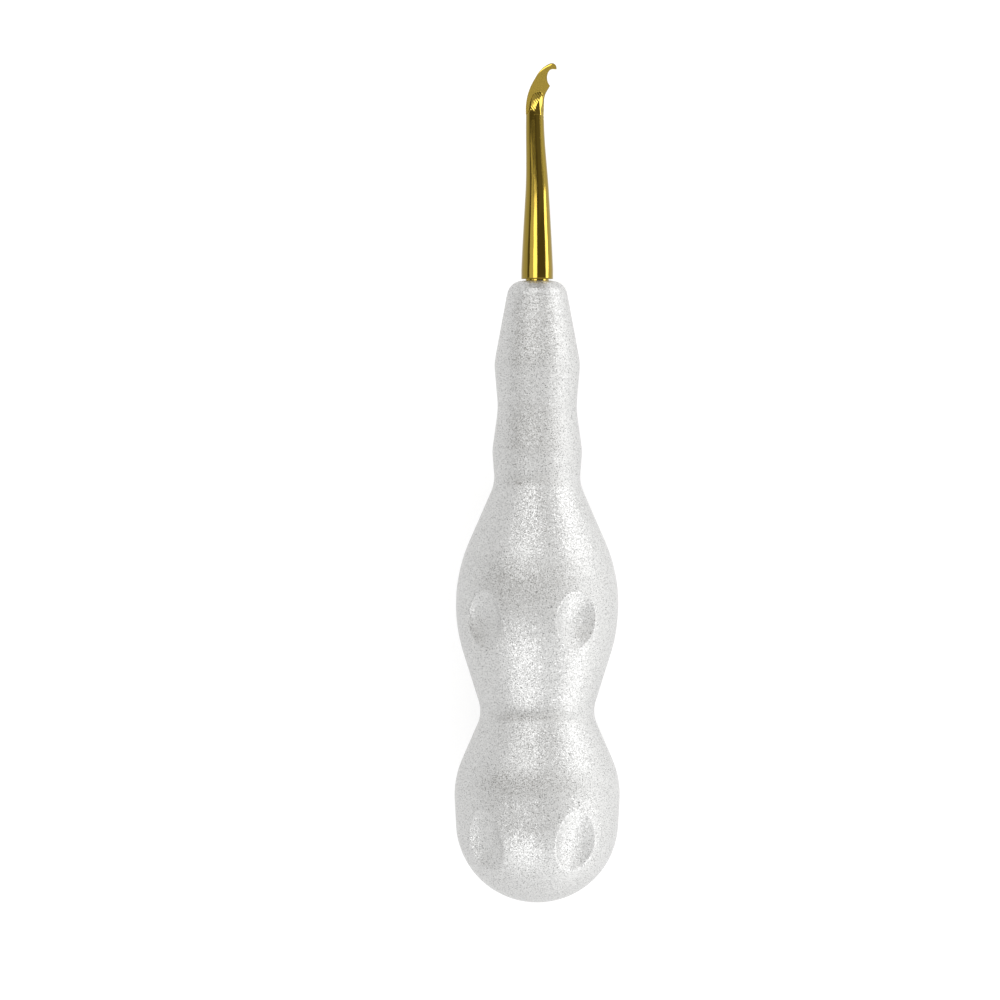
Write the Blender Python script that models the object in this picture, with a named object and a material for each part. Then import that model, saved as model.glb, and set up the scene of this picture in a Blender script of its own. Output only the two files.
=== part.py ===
"""Periotome: a dental hand instrument with a hooked, gold-coated blade in a turned and dimpled handle.

Tang, shank and blade are one ground steel piece. Its tang is pressed into the handle, a turning with
two bulbs, a narrow waist, a neck with two soft collars, and two rings of hollows for the fingers.

The instrument is drawn upright, butt at the bottom and front towards -Y. An empty then lays it on
its back, at the slope at which such a handle comes to rest: on the crest of the butt bulb and on the
rim of the one hollow of the grip bulb that faces down. Lengths are in metres.
"""

import math
from collections import namedtuple

import bmesh
import bpy
import numpy as np
from mathutils import Matrix, Vector

MM = 0.001

# Handle, from the butt to the nose. Each crest and hollow of the turning has its distance from the
# one before it, its radius about the axis, and the radius of the arc that rounds it.
BUTT_DOME_RADIUS = 15.4 * MM
BUTT_TO_BUTT_BULB = 20.4 * MM
BUTT_BULB_RADIUS = 15.65 * MM
BUTT_BULB_ARC = 17.0 * MM
BUTT_BULB_TO_WAIST = 15.9 * MM
WAIST_RADIUS = 10.8 * MM
WAIST_ARC = 6.0 * MM
WAIST_TO_GRIP_BULB = 20.1 * MM
GRIP_BULB_RADIUS = 15.4 * MM
GRIP_BULB_ARC = 30.0 * MM
GRIP_BULB_TO_FLARE_FOOT = 24.3 * MM
FLARE_FOOT_RADIUS = 8.15 * MM
FLARE_FOOT_ARC = 7.0 * MM
FLARE_FOOT_TO_REAR_COLLAR = 4.8 * MM
REAR_COLLAR_RADIUS = 8.5 * MM
REAR_COLLAR_ARC = 4.0 * MM
REAR_COLLAR_TO_NECK = 8.6 * MM
NECK_RADIUS = 7.5 * MM
NECK_ARC = 16.0 * MM
NECK_TO_FRONT_COLLAR = 7.6 * MM
FRONT_COLLAR_RADIUS = 8.08 * MM
FRONT_COLLAR_ARC = 9.0 * MM
FRONT_COLLAR_TO_NOSE = 16.1 * MM
NOSE_RADIUS = 5.75 * MM
NOSE_ARC = 3.0 * MM

# Finger hollows: five round each bulb, cut square to the surface, longer along the handle than round it
HOLLOWS_IN_A_RING = 5
HOLLOW_ROUND_RADIUS = 11.5 * MM
HOLLOW_DEPTH = 1.55 * MM
GRIP_RING_FROM_BUTT = 53.7 * MM
GRIP_HOLLOW_HALF_LENGTH = 13.2 * MM
BUTT_RING_FROM_BUTT = 11.7 * MM
BUTT_HOLLOW_HALF_LENGTH = 22.0 * MM

# Shank, from its shoulder on the nose to the root of the blade
SHOULDER_RADIUS = 3.02 * MM
SHOULDER_LENGTH = 1.8 * MM
TAPER_LENGTH = 28.4 * MM
TAPER_ROOT_SLOPE = 0.25
TAPER_SHOULDER_SLOPE = 0.9
ROOT_RADIUS = 1.72 * MM
CRANK = 0.42 * MM
CRANK_LENGTH = 14.0 * MM
TANG_RADIUS = 2.2 * MM
TANG_LENGTH = 22.0 * MM
TANG_CHAMFER = 0.5 * MM
SEAT_GAP = 0.3 * MM

# Ramp: the ground end of the shank's round body, lying on the blade
RAMP_LENGTH = 5.4 * MM
RAMP_LEAN = 0.73 * MM
RAMP_LEFT_REACH = 1.75 * MM
RAMP_LEFT_STEP = 0.68 * MM
RAMP_RIGHT_REACH = 0.96 * MM
RAMP_STEP_SHARE = 0.35
RAMP_FALL = 0.5

# Blade: a flat plate. Its outline runs from the root up the belly, over the brow and the crown to the
# hook, back round the notch to the barb, and down the heel. Each arc has its radius, the straight run
# that leads to it, and the way the edge faces where the arc starts, turned up from the right.
BLADE_THICKNESS = 0.7 * MM
BLADE_RIM = 0.2 * MM
BLADE_BEVEL = 0.32 * MM
BLADE_LIGHT_BEVEL = 0.11 * MM
BLADE_FOOT_DEPTH = 1.8 * MM
BLADE_FOOT_INSET = 0.12 * MM
BELLY_ARC = 10.5 * MM
BELLY_UP = 2.05 * MM
BROW_ARC = 5.2 * MM
BROW_FACING = math.radians(149)
BROW_RUN = 1.25 * MM
CROWN_ARC = 0.9 * MM
CROWN_FACING = math.radians(112.5)
HOOK_FACING = math.radians(2)
HOOK_RUN = 0.37 * MM
NOTCH_CORNER_ARC = 0.89 * MM
NOTCH_CORNER_FACING = math.radians(-95)
NOTCH_CORNER_RUN = 0.66 * MM
NOTCH_ARC = 2.35 * MM
NOTCH_FACING = math.radians(-29.5)
BARB_FACING = math.radians(41)
HEEL_ARC = 3.8 * MM
HEEL_UP = 3.45 * MM

HANDLE_SIDES = 54
HOLLOW_SIDES = 24
HOLLOW_RINGS = 32
SHANK_SIDES = 36
TAPER_RINGS = 15
RAMP_RINGS = 9
ARC_STEP = math.radians(8)
BLADE_ARC_STEP = math.radians(9)
SHARP_EDGE = math.radians(24)
STEEPEST_REST = 0.1
REST_STEPS = 2001

Round = namedtuple("Round", "x y radius bevel", defaults=[0.0])
Outline = namedtuple("Outline", "points angles bevels")


def handle_rounds():
    """The arcs of the handle's profile, x along the axis from the butt and y out from the axis."""
    waist = BUTT_TO_BUTT_BULB + BUTT_BULB_TO_WAIST
    grip_bulb = waist + WAIST_TO_GRIP_BULB
    flare_foot = grip_bulb + GRIP_BULB_TO_FLARE_FOOT
    rear_collar = flare_foot + FLARE_FOOT_TO_REAR_COLLAR
    neck = rear_collar + REAR_COLLAR_TO_NECK
    front_collar = neck + NECK_TO_FRONT_COLLAR
    nose = front_collar + FRONT_COLLAR_TO_NOSE
    return [
        Round(0, 0, 0),
        Round(BUTT_DOME_RADIUS, 0, BUTT_DOME_RADIUS),
        Round(BUTT_TO_BUTT_BULB, BUTT_BULB_RADIUS - BUTT_BULB_ARC, BUTT_BULB_ARC),
        Round(waist, WAIST_RADIUS + WAIST_ARC, -WAIST_ARC),
        Round(grip_bulb, GRIP_BULB_RADIUS - GRIP_BULB_ARC, GRIP_BULB_ARC),
        Round(flare_foot, FLARE_FOOT_RADIUS + FLARE_FOOT_ARC, -FLARE_FOOT_ARC),
        Round(rear_collar, REAR_COLLAR_RADIUS - REAR_COLLAR_ARC, REAR_COLLAR_ARC),
        Round(neck, NECK_RADIUS + NECK_ARC, -NECK_ARC),
        Round(front_collar, FRONT_COLLAR_RADIUS - FRONT_COLLAR_ARC, FRONT_COLLAR_ARC),
        Round(nose - NOSE_ARC, NOSE_RADIUS - NOSE_ARC, NOSE_ARC),
        Round(nose, 0, 0),
    ]


def blade_rounds(root):
    """The arcs of the blade's outline, clockwise from its foot inside the shank's left side."""
    light = BLADE_LIGHT_BEVEL
    belly = Round(root.x - ROOT_RADIUS + BELLY_ARC, root.z + BELLY_UP, BELLY_ARC, light)
    brow = round_after(belly, BROW_ARC, BROW_FACING, BROW_RUN, BLADE_BEVEL)
    crown = round_after(brow, CROWN_ARC, CROWN_FACING, 0, BLADE_BEVEL)
    hook = round_after(crown, 0, HOOK_FACING, HOOK_RUN, light)
    corner = round_after(hook, -NOTCH_CORNER_ARC, NOTCH_CORNER_FACING, NOTCH_CORNER_RUN, light)
    notch = round_after(corner, -NOTCH_ARC, NOTCH_FACING, 0, light)
    barb = round_after(notch, 0, BARB_FACING, 0, light)
    heel = Round(root.x + ROOT_RADIUS + HEEL_ARC, root.z + HEEL_UP, -HEEL_ARC, light)
    foot = root.z - BLADE_FOOT_DEPTH
    left_foot = Round(root.x - ROOT_RADIUS + BLADE_FOOT_INSET, foot, 0)
    right_foot = Round(root.x + ROOT_RADIUS - BLADE_FOOT_INSET, foot, 0)
    return [left_foot, belly, brow, crown, hook, corner, notch, barb, heel, right_foot]


def round_after(before, radius, facing, run, bevel):
    """The round that an outline meets after it has turned to this facing and run straight on."""
    across = math.cos(facing)
    up = math.sin(facing)
    shift = before.radius - radius
    return Round(before.x + shift * across + run * up, before.y + shift * up - run * across, radius, bevel)


def normal_between(a, b):
    """The angle of the outward normal of the straight line that touches rounds a and b."""
    along = Vector((b.x - a.x, b.y - a.y))
    lean = (a.radius - b.radius) / along.length
    return math.atan2(along.y, along.x) + math.acos(max(-1.0, min(1.0, lean)))


def outline_through(rounds, step):
    """Points along the rounds and the straight lines that touch them, with each point's normal and bevel.

    A round with a positive radius bulges out, a negative one is hollow, and a zero one is a corner.
    """
    points = []
    angles = []
    bevels = []
    for before, here, after in zip(rounds, rounds[1:], rounds[2:]):
        first = normal_between(before, here)
        turn = (normal_between(here, after) - first + math.pi) % (2 * math.pi) - math.pi
        if here.radius == 0:
            points.append((here.x, here.y))
            angles.append(first + turn / 2)
            bevels.append(here.bevel / math.cos(turn / 2))
            continue
        count = max(1, math.ceil(abs(turn) / step))
        for angle in np.linspace(first, first + turn, count + 1):
            points.append((here.x + here.radius * math.cos(angle), here.y + here.radius * math.sin(angle)))
            angles.append(angle)
            bevels.append(here.bevel)
    for end, place in ((rounds[0], 0), (rounds[-1], len(points) + 1)):
        points.insert(place, (end.x, end.y))
        angles.insert(place, angles[min(place, len(angles) - 1)])
        bevels.insert(place, end.bevel)
    return Outline(np.array(points), np.array(angles), np.array(bevels))


def clear_scene():
    for obj in list(bpy.data.objects):
        bpy.data.objects.remove(obj)


def metal(name, colour, roughness):
    """A bare metal with one colour and one roughness."""
    material = bpy.data.materials.new(name)
    material.use_nodes = True
    shader = material.node_tree.nodes["Principled BSDF"]
    shader.inputs["Base Color"].default_value = (*colour, 1)
    shader.inputs["Metallic"].default_value = 1.0
    shader.inputs["Roughness"].default_value = roughness
    return material


def new_object(name, mesh, parent, material=None):
    obj = bpy.data.objects.new(name, mesh)
    obj.parent = parent
    bpy.context.collection.objects.link(obj)
    if material:
        mesh.materials.append(material)
    return obj


def mesh_from(name, bm):
    """The bmesh as a mesh with its faces pointing out."""
    bmesh.ops.recalc_face_normals(bm, faces=bm.faces)
    mesh = bpy.data.meshes.new(name)
    bm.to_mesh(mesh)
    bm.free()
    return mesh


def loft(name, rings):
    """A closed skin over rings of equal length, with a flat face on the first and the last."""
    bm = bmesh.new()
    loops = [[bm.verts.new(point) for point in ring] for ring in rings]
    for low, high in zip(loops, loops[1:]):
        for i in range(len(low)):
            bm.faces.new((low[i - 1], low[i], high[i], high[i - 1]))
    bm.faces.new(loops[0])
    bm.faces.new(loops[-1])
    return mesh_from(name, bm)


def as_cutter(obj):
    obj.hide_render = True
    obj.display_type = "WIRE"
    return obj


def combine(obj, operation, others):
    """Applies one exact Boolean of the object with each of the others, then marks the crisp edges."""
    for other in others:
        boolean = obj.modifiers.new(other.name, "BOOLEAN")
        boolean.operation = operation
        boolean.object = other
    bpy.context.view_layer.update()
    graph = bpy.context.evaluated_depsgraph_get()
    mesh = bpy.data.meshes.new_from_object(obj.evaluated_get(graph))
    obj.modifiers.clear()
    obj.data = mesh
    mesh.shade_smooth()
    mesh.set_sharp_from_angle(angle=SHARP_EDGE)


def turned_body(name, outline):
    """The outline spun once about the upright axis."""
    bm = bmesh.new()
    verts = [bm.verts.new((radius, 0, along)) for along, radius in outline.points]
    edges = [bm.edges.new(pair) for pair in zip(verts, verts[1:])]
    bmesh.ops.spin(
        bm,
        geom=verts + edges,
        axis=(0, 0, 1),
        cent=(0, 0, 0),
        angle=2 * math.pi,
        steps=HANDLE_SIDES,
        use_merge=True,
    )
    bmesh.ops.remove_doubles(bm, verts=bm.verts, dist=0.001 * MM)
    return mesh_from(name, bm)


def hollow_cutter(parent, outline, from_butt, half_length, turn):
    """An ellipsoid that dips HOLLOW_DEPTH into the handle, square to its surface, turned from the front."""
    along = outline.points[:, 0]
    radius = np.interp(from_butt, along, outline.points[:, 1])
    angle = np.interp(from_butt, along, outline.angles)
    outward = Vector((math.sin(turn), -math.cos(turn), 0))
    normal = outward * math.sin(angle) + Vector((0, 0, math.cos(angle)))
    lengthwise = Vector((0, 0, math.sin(angle))) - outward * math.cos(angle)
    sideways = lengthwise.cross(normal)
    bm = bmesh.new()
    bmesh.ops.create_uvsphere(bm, u_segments=HOLLOW_SIDES, v_segments=HOLLOW_RINGS, radius=1)
    bmesh.ops.scale(bm, vec=(HOLLOW_ROUND_RADIUS, half_length, HOLLOW_ROUND_RADIUS), verts=bm.verts)
    cutter = new_object("hollow_cutter", mesh_from("hollow_cutter", bm), parent)
    surface = outward * radius + Vector((0, 0, from_butt))
    place = surface + normal * (HOLLOW_ROUND_RADIUS - HOLLOW_DEPTH)
    turned = Matrix((sideways, lengthwise, normal)).transposed()
    cutter.matrix_local = Matrix.Translation(place) @ turned.to_4x4()
    return as_cutter(cutter)


def tang_bore_cutter(parent, nose):
    """The blind bore for the tang, open at the nose."""
    depth = TANG_LENGTH + SEAT_GAP
    bm = bmesh.new()
    bmesh.ops.create_cone(
        bm,
        cap_ends=True,
        segments=SHANK_SIDES,
        radius1=TANG_RADIUS + SEAT_GAP,
        radius2=TANG_RADIUS + SEAT_GAP,
        depth=2 * depth,
    )
    cutter = new_object("tang_bore_cutter", mesh_from("tang_bore_cutter", bm), parent)
    cutter.location = (0, 0, nose)
    return as_cutter(cutter)


def make_handle(parent, material):
    """The turned handle, its two rings of finger hollows and the bore for the tang."""
    rounds = handle_rounds()
    outline = outline_through(rounds, ARC_STEP)
    handle = new_object("handle", turned_body("handle", outline), parent, material)
    cutters = [tang_bore_cutter(parent, rounds[-1].x)]
    rings = (
        (GRIP_RING_FROM_BUTT, GRIP_HOLLOW_HALF_LENGTH),
        (BUTT_RING_FROM_BUTT, BUTT_HOLLOW_HALF_LENGTH),
    )
    for from_butt, half_length in rings:
        for i in range(HOLLOWS_IN_A_RING):
            turn = math.pi + i * 2 * math.pi / HOLLOWS_IN_A_RING
            cutters.append(hollow_cutter(parent, outline, from_butt, half_length, turn))
    combine(handle, "DIFFERENCE", cutters)
    return handle


def ease(share):
    """Rises from 0 to 1, level at both ends."""
    share = max(0.0, min(1.0, share))
    return share * share * (3 - 2 * share)


def taper(share):
    """Rises from 0 at the root to 1 at the shoulder, with the named slopes at its two ends."""
    curve = 3 - 2 * TAPER_ROOT_SLOPE - TAPER_SHOULDER_SLOPE
    bend = TAPER_ROOT_SLOPE + TAPER_SHOULDER_SLOPE - 2
    return share * (TAPER_ROOT_SLOPE + share * (curve + share * bend))


def shank_ring(left, right, half_depth, height):
    """One oval section of the shank, between its left and right edges."""
    middle = (left + right) / 2
    half_width = (right - left) / 2
    turns = [2 * math.pi * i / SHANK_SIDES for i in range(SHANK_SIDES)]
    return [(middle + half_width * math.cos(a), half_depth * math.sin(a), height) for a in turns]


def shank_rings(shoulder, root):
    """Sections of the tang, the shoulder, the taper with its slight crank, and the ramp on the blade."""
    tang_end = shoulder - SEAT_GAP - TANG_LENGTH
    straight = shoulder + SHOULDER_LENGTH
    tip = TANG_RADIUS - TANG_CHAMFER
    rings = [
        shank_ring(-tip, tip, tip, tang_end),
        shank_ring(-TANG_RADIUS, TANG_RADIUS, TANG_RADIUS, tang_end + TANG_CHAMFER),
        shank_ring(-TANG_RADIUS, TANG_RADIUS, TANG_RADIUS, shoulder),
        shank_ring(-SHOULDER_RADIUS, SHOULDER_RADIUS, SHOULDER_RADIUS, shoulder),
    ]
    for share in np.linspace(0, 1, TAPER_RINGS):
        height = straight + share * (root.z - straight)
        radius = ROOT_RADIUS + (SHOULDER_RADIUS - ROOT_RADIUS) * taper(1 - share)
        middle = root.x * ease(1 - (root.z - height) / CRANK_LENGTH)
        rings.append(shank_ring(middle - radius, middle + radius, radius, height))
    rings += [ramp_ring(root, share) for share in np.sin(np.linspace(0, math.pi / 2, RAMP_RINGS + 2)[1:-1])]
    return rings


def ramp_ring(root, share):
    """The section of the ramp at this share of its length: narrower and flatter towards its round end."""
    rounding = math.sqrt(1 - share**4)
    step = RAMP_LEFT_STEP * (1 - ease(share / RAMP_STEP_SHARE))
    left = root.x + RAMP_LEAN - (RAMP_LEFT_REACH + step) * rounding
    right = root.x + RAMP_LEAN + RAMP_RIGHT_REACH * rounding
    half_depth = ROOT_RADIUS * (1 - RAMP_FALL * share) * rounding
    return shank_ring(left, right, half_depth, root.z + share * RAMP_LENGTH)


def blade_rings(root):
    """The blade's outline four times from front to back: bevelled in, at the rim twice, bevelled in."""
    outline = outline_through(blade_rounds(root), BLADE_ARC_STEP)
    normals = np.column_stack((np.cos(outline.angles), np.sin(outline.angles)))
    inner = outline.points - normals * outline.bevels[:, None]
    layers = (
        (inner, -BLADE_THICKNESS / 2),
        (outline.points, -BLADE_RIM / 2),
        (outline.points, BLADE_RIM / 2),
        (inner, BLADE_THICKNESS / 2),
    )
    return [[(x, depth, z) for x, z in points] for points, depth in layers]


def make_blade_shank(parent, material, nose):
    """Tang, shank and blade as one piece, its shoulder resting on the nose."""
    shoulder = nose + SEAT_GAP
    root = Vector((-CRANK, 0, shoulder + SHOULDER_LENGTH + TAPER_LENGTH))
    shank = new_object("blade_shank", loft("blade_shank", shank_rings(shoulder, root)), parent, material)
    blade = as_cutter(new_object("blade_form", loft("blade_form", blade_rings(root)), parent))
    combine(shank, "UNION", [blade])
    return shank


def resting_slope(along, height):
    """The slope of the line that the underside lies on: of all lines below it, the highest at along = 0."""
    slopes = np.linspace(-STEEPEST_REST, STEEPEST_REST, REST_STEPS)
    heights = [(height - slope * along).min() for slope in slopes]
    return slopes[int(np.argmax(heights))]


def places_of(pieces):
    """Where every vertex of the pieces is in the world."""
    bpy.context.view_layer.update()
    return np.array([piece.matrix_world @ vert.co for piece in pieces for vert in piece.data.vertices])


def lay_down(instrument, pieces, waist):
    """Lays the instrument on its back as it comes to rest, the origin under the middle of its box."""
    instrument.rotation_euler = (-math.pi / 2, 0, 0)
    places = places_of(pieces)
    slope = resting_slope(places[:, 1] - waist, places[:, 2])
    instrument.rotation_euler.x -= math.atan(slope)
    places = places_of(pieces)
    middle = (places[:, 1].min() + places[:, 1].max()) / 2
    instrument.location = (0, -middle, -places[:, 2].min())


def main():
    clear_scene()
    blasted_metal = metal("blasted_aluminium", (0.75, 0.75, 0.74), 0.5)
    gold_coat = metal("gold_coated_steel", (0.68, 0.50, 0.14), 0.12)
    instrument = bpy.data.objects.new("instrument", None)
    bpy.context.collection.objects.link(instrument)
    nose = handle_rounds()[-1].x
    handle = make_handle(instrument, blasted_metal)
    blade_shank = make_blade_shank(instrument, gold_coat, nose)
    lay_down(instrument, (handle, blade_shank), BUTT_TO_BUTT_BULB + BUTT_BULB_TO_WAIST)


main()
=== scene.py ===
"""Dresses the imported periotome: a bead-blasted handle and a gold-coated shank with a hooked blade.

The surfaces are worked out in the instrument's own frame, as arrays of points (across, along, front):
across to the right, along from the butt towards the tip, and front out of the blade's front face. The
last step turns them to the slope at which the instrument lies. Lengths are in metres.
"""

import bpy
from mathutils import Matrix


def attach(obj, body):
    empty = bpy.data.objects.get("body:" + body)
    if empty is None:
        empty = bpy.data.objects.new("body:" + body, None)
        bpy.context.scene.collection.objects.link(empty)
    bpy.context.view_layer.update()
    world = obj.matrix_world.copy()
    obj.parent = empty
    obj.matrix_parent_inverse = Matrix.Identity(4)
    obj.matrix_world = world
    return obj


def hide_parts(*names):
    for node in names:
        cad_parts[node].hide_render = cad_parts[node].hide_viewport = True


bl_info = {
    "name": "Periotome",
    "version": (1, 0, 0),
    "blender": (4, 5, 0),
    "location": "View3D > Sidebar > Periotome",
    "description": "Builds a turned and dimpled handle, a gold-coated shank and blade, and a plain studio",
    "category": "Add Mesh",
}

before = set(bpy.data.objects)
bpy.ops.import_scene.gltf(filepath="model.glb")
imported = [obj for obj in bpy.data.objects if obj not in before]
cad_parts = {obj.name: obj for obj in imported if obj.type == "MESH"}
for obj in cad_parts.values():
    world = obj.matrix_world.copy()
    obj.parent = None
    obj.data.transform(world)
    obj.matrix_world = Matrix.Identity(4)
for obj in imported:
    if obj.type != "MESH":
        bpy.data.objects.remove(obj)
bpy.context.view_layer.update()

import math
from collections import namedtuple

import bpy
import numpy as np
from bpy.props import FloatProperty, FloatVectorProperty, IntProperty, PointerProperty
from mathutils import Matrix, Vector

MM = 0.001
HANDLE, SHANK, BLADE = "dimpled_handle", "gold_shank", "hooked_blade"

Round = namedtuple("Round", "x y radius bevel", defaults=[0.0])
Outline = namedtuple("Outline", "points angles bevels")
Placement = namedtuple("Placement", "slope middle lowest")
Turn = namedtuple("Turn", "radius facing run bevel")
Flat = namedtuple("Flat", "height middle lean fall")
Lamp = namedtuple("Lamp", "name across along place distance level only", defaults=[()])


def linear(colour):
    """An sRGB hex colour as the linear red, green and blue that a shader takes."""
    parts = [int(colour[i : i + 2], 16) / 255 for i in (1, 3, 5)]
    return [part / 12.92 if part <= 0.04045 else ((part + 0.055) / 1.055) ** 2.4 for part in parts]


def size(name, millimetres, description):
    """A length that a user may change, shown in the scene's units."""
    return FloatProperty(name=name, description=description, default=millimetres * MM, unit="LENGTH")


def colour(name, value, description):
    """A colour that a user may change, from its sRGB hex value."""
    return FloatVectorProperty(
        name=name, description=description, default=linear(value), subtype="COLOR", min=0, max=1
    )


class HandleSizes(bpy.types.PropertyGroup):
    """The arcs of the handle's profile, placed along its axis from the butt, and its finger hollows"""

    butt_dome: size("Butt dome", 15.4, "Radius of the domed butt end")
    butt_bulb_at: size("Butt bulb at", 20.4, "Distance of the butt bulb's crest from the butt")
    butt_bulb: size("Butt bulb", 15.65, "Radius of the handle at the crest of the butt bulb")
    butt_bulb_arc: size("Butt bulb arc", 17.0, "Radius of the arc along the butt bulb")
    waist_at: size("Waist at", 36.3, "Distance of the waist from the butt")
    waist: size("Waist", 10.8, "Radius of the handle at the waist")
    waist_arc: size("Waist arc", 6.0, "Radius of the arc along the waist")
    grip_bulb_at: size("Grip bulb at", 56.4, "Distance of the grip bulb's crest from the butt")
    grip_bulb: size("Grip bulb", 15.4, "Radius of the handle at the crest of the grip bulb")
    grip_bulb_arc: size("Grip bulb arc", 30.0, "Radius of the arc along the grip bulb")
    flare_at: size("Flare foot at", 80.7, "Distance of the foot of the flare from the butt")
    flare: size("Flare foot", 8.15, "Radius of the handle at the foot of the flare")
    flare_arc: size("Flare foot arc", 7.0, "Radius of the arc along the foot of the flare")
    rear_collar_at: size("Rear collar at", 85.5, "Distance of the rear collar from the butt")
    rear_collar: size("Rear collar", 8.5, "Radius of the rear collar")
    rear_collar_arc: size("Rear collar arc", 4.0, "Radius of the arc along the rear collar")
    neck_at: size("Neck at", 94.1, "Distance of the neck from the butt")
    neck: size("Neck", 7.5, "Radius of the neck")
    neck_arc: size("Neck arc", 16.0, "Radius of the arc along the neck")
    front_collar_at: size("Front collar at", 101.7, "Distance of the front collar from the butt")
    front_collar: size("Front collar", 8.08, "Radius of the front collar")
    front_collar_arc: size("Front collar arc", 9.0, "Radius of the arc along the front collar")
    length: size("Length", 117.8, "Length of the handle")
    nose: size("Nose", 5.75, "Radius of the nose")
    nose_arc: size("Nose arc", 3.0, "Radius of the nose's rounded edge")
    hollow_round: size("Hollow radius", 9.0, "Radius of a finger hollow round the handle")
    hollow_depth: size("Hollow depth", 1.65, "Depth of a finger hollow")
    hollow_rim: size("Hollow rim", 0.06, "Softness of a finger hollow's blasted rim")
    grip_ring_at: size("Grip ring at", 53.7, "Distance of the grip bulb's ring of hollows from the butt")
    grip_hollow_length: size("Grip hollow length", 10.9, "Half length of the ellipsoid of a grip hollow")
    butt_ring_at: size("Butt ring at", 11.7, "Distance of the butt bulb's ring of hollows from the butt")
    butt_hollow_length: size("Butt hollow length", 15.9, "Half length of the ellipsoid of a butt hollow")
    hollows: IntProperty(name="Hollows", description="Finger hollows in each ring", default=5, min=3, max=8)


class BladeSizes(bpy.types.PropertyGroup):
    """The shank with its tang, and the blade with the ramp on it"""

    shoulder: size("Shoulder", 3.02, "Radius of the shank where it meets the handle")
    shoulder_length: size("Shoulder length", 1.8, "Straight length of the shank's thick end")
    shoulder_edge: size("Shoulder edge", 0.12, "Rounding of the edge of the shank's shoulder")
    taper_length: size("Taper", 28.4, "Length of the shank's taper")
    root: size("Root", 1.72, "Radius of the shank at the root of the blade")
    crank: size("Crank", 0.42, "How far the root of the blade is set off to the left")
    crank_length: size("Crank length", 14.0, "Length of shank along which it is set off")
    tang: size("Tang", 2.2, "Radius of the tang inside the handle")
    tang_length: size("Tang length", 22.0, "Length of the tang")
    seat_gap: size("Seat gap", 0.3, "Room between the shank and the handle")
    thickness: size("Thickness", 0.7, "Thickness of the blade")
    rim: size("Rim", 0.45, "Thickness of the blade at its edge")
    bevel: size("Bevel", 0.5, "Width of the bevel along the brow")
    light_bevel: size("Light bevel", 0.07, "Width of the bevel everywhere else")
    ramp_length: size("Ramp", 5.5, "Length of the ramp where the shank runs out on the blade")
    ramp_width: size("Ramp width", 1.4, "Half width of the ramp")


class Finishes(bpy.types.PropertyGroup):
    """The colours of the two metals, and the handle's grain"""

    silver: colour("Blasted metal", "#D2D2D1", "Colour of the bead-blasted handle")
    silver_grain: size("Grain", 0.17, "Width of one dimple of the blasting")
    gold: colour("Gold coat", "#907C35", "Colour of the gold-coloured coat")


class Studio(bpy.types.PropertyGroup):
    """The camera's view, and the floor"""

    frame_width: size("Frame width", 189.53, "Width of the picture at the instrument's axis")
    axis_shift: size("Axis shift", 7.05, "How far right of the picture's middle the axis lies")
    height_shift: size("Height shift", 76.25, "How far up the handle the picture's middle lies")
    camera_distance: size("Camera distance", 1500.0, "Distance of the camera from the axis")
    camera_roll: FloatProperty(
        name="Camera roll",
        description="How far round the axis the camera stands, from the front towards the right",
        default=math.radians(6.5),
        subtype="ANGLE",
    )
    floor_size: size("Floor", 12000.0, "Width of the floor")
    floor_white: colour("Floor", "#B4B4B4", "Colour of the floor")


# The radius of the last ring before the pole that closes the end of the bore or of the tang.
POLE_RING = 0.2 * MM

# The blade's outline past its belly, clockwise. Each round has its radius in millimetres, below zero where
# it is hollow, the way in degrees that the straight before it faces, and that straight's length.
BLADE_TURNS = (
    Turn(5.2, 149, 1.25, "wide"),  # brow
    Turn(0.9, 112.5, 0, "fading"),  # crown
    Turn(0.86, 80, 0, "light"),  # crest
    Turn(0, 2, 0.37, "light"),  # hook
    Turn(-0.89, -95, 0.66, "light"),  # corner
    Turn(-2.35, -29.5, 0, "light"),  # notch
    Turn(0, 41, 0, "light"),  # barb
)

# The width of the fading bevel, in light bevels.
FADING_BEVEL = 1.6

# Where the rings across the blade's bevel lie, as shares of its width, with two close together at the bend
# in it, and how far towards the rim it has fallen at that bend.
BEVEL_RINGS = (0, 0.03, 0.52, 0.58, 0.97, 1)
BEVEL_BEND, BEVEL_BEND_FALL = 0.55, 0.2
OUTLINE_STEP = 0.06 * MM

# The flats ground along the ramp's right, in millimetres: the height at a middle line right of the root's,
# the lean down to the right and the fall towards the tip, from FLATS_FROM past the root.
RAMP_FLATS = (Flat(1.46, 0.65, 0.44, 0.05), Flat(1.29, 1.1, 0.78, 0.08))
FLATS_FROM = 0.3

# How far the normals of the blasting's facets lean, and its soft dark pits: the values of the noise between
# which a pit deepens, and its share of the metal's colour where it is deepest.
FACET_TILT = 0.36
PIT_SPAN = (0.52, 0.7)
PIT_SHADE = 0.2

# The room, in sines of angles. Its pale horizon fades out between these heights above level, and its dim
# band of ceiling and its dim far end lie this far from straight up, towards the tip.
HORIZON = (0.2, 0.45)
BAND_MIDDLE, BAND_HALF, BAND_EDGE = 0.11, 0.06, 0.12
FAR_END = (0.78, 0.92)
ROOM_DIM, ROOM_PALE = "#807A6E", "#FFFFFF"

# The floor's glow from the left of the instrument to the right of it, and where it grows.
GLOW, GLOW_SPAN = (0.6, 0.85), (-0.02, 0.05)

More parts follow.
